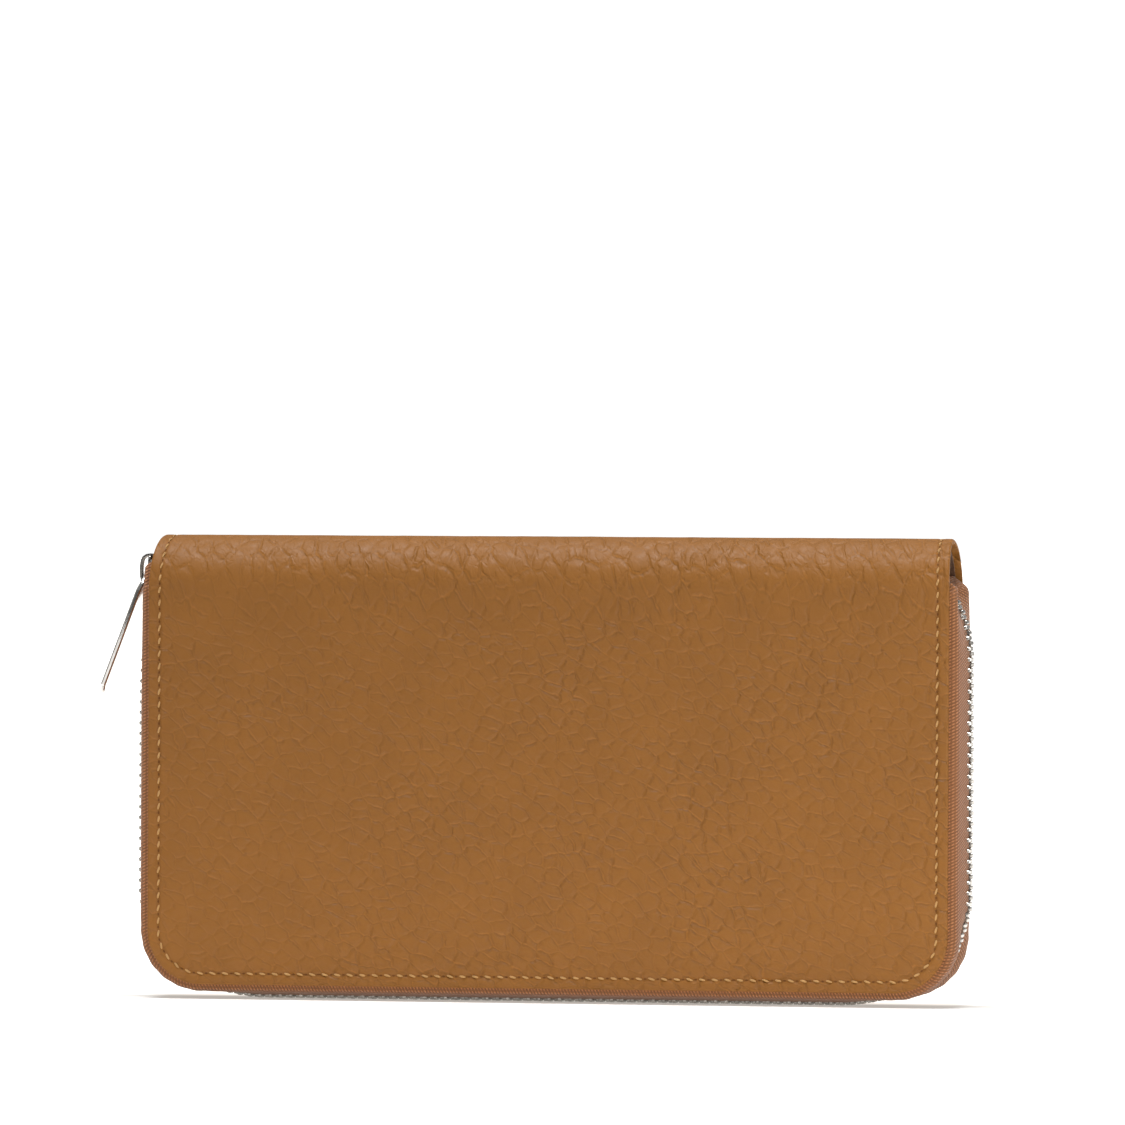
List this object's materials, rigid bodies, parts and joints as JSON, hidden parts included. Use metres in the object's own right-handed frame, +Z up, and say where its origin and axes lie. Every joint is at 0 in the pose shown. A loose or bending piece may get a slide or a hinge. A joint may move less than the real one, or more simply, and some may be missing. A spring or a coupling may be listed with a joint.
{
  "type": "zip around wallet",
  "caption": "Long zip around leather wallet standing closed on its zip edge, with card panels and a zipped coin pocket inside.",
  "frame": {"origin": "On the floor, under the middle of the closed wallet with its hanging puller: bottom centre of the bounding box.", "axes": "+X along the fold, with the puller at the -X end; +Y through the thickness from the front cover to the back cover; +Z up, from the zip edge that the wallet stands on to the fold."},
  "size_m": [0.2102, 0.024, 0.111],
  "materials": {
    "cover_leather": "pebbled, semi matte",
    "inside_leather": "smooth, semi matte",
    "lining": "matte",
    "board": "matte",
    "zip_tape": "woven, matte",
    "thread": "twisted, satin",
    "zip_metal": "polished, slightly aged nickel",
    "polished_metal": "mirror polished nickel"
  },
  "bodies": {
    "back_half": {"back_cover": "cover_leather", "back_board": "board", "back_lining": "lining", "back_card_backing": "inside_leather", "back_card_strip_1": "inside_leather", "back_card_strip_2": "inside_leather", "back_card_strip_3": "inside_leather", "back_card_strip_4": "inside_leather", "back_stitching": "thread", "back_zip_tape": "zip_tape", "back_teeth_left_run": "zip_metal", "back_teeth_main": "zip_metal", "back_teeth_feet": "zip_metal", "back_top_stop": "zip_metal", "bottom_stop": "zip_metal"},
    "front_half": {"front_cover": "cover_leather", "front_board": "board", "front_lining": "lining", "front_card_backing": "inside_leather", "front_card_strip_1": "inside_leather", "front_card_strip_2": "inside_leather", "front_card_strip_3": "inside_leather", "front_card_strip_4": "inside_leather", "front_stitching": "thread", "front_zip_tape": "zip_tape", "front_teeth_left_run": "zip_metal", "front_teeth_main": "zip_metal", "front_teeth_feet": "zip_metal", "front_top_stop": "zip_metal"},
    "divider": {"coin_pocket_front_wall": "inside_leather", "coin_pocket_back_wall": "inside_leather", "coin_pocket_binding": "inside_leather", "coin_zip_tapes": "zip_tape", "coin_zip_teeth": "zip_metal", "coin_zip_stop": "zip_metal", "front_left_gusset": "lining", "front_right_gusset": "lining", "back_left_gusset": "lining", "back_right_gusset": "lining"},
    "slider": {"slider_body": "zip_metal", "slider_bail": "zip_metal"},
    "puller": {"puller": "polished_metal"},
    "coin_slider": {"coin_slider": "zip_metal"},
    "coin_puller": {"coin_puller": "zip_metal"}
  },
  "joints": [
    {"name": "pocket_swing", "type": "hinge", "parent": "back_half", "child": "divider", "pos_m": [0, 0, 0.111], "axis": [-1, 0, 0], "range_deg": [0, 45], "deforming": ["front_left_gusset", "front_right_gusset", "back_left_gusset", "back_right_gusset"]},
    {"name": "cover_swing", "type": "hinge", "parent": "divider", "child": "front_half", "pos_m": [0, 0, 0.111], "axis": [-1, 0, 0], "range_deg": [0, 45]},
    {"name": "slider_travel", "type": "slide", "parent": "back_half", "child": "slider", "axis": [-0.0384, 0, -0.9993], "range_m": [0, 0.07], "deforming": ["front_teeth_left_run", "back_teeth_left_run"]},
    {"name": "puller_swing", "type": "hinge", "parent": "slider", "child": "puller", "pos_m": [-0.09392, 0, 0.10082], "axis": [0, 1, 0], "range_deg": [0, 100]},
    {"name": "coin_slider_travel", "type": "slide", "parent": "divider", "child": "coin_slider", "axis": [1, 0, 0], "range_m": [0, 0.158], "deforming": ["coin_zip_teeth"]},
    {"name": "coin_puller_swing", "type": "hinge", "parent": "coin_slider", "child": "coin_puller", "pos_m": [-0.07582, 0, 0.0186], "axis": [0, 1, 0], "range_deg": [-80, 40]}
  ],
  "couplings": [
    {"joint": "pocket_swing", "follows": "cover_swing", "ratio": 1}
  ]
}
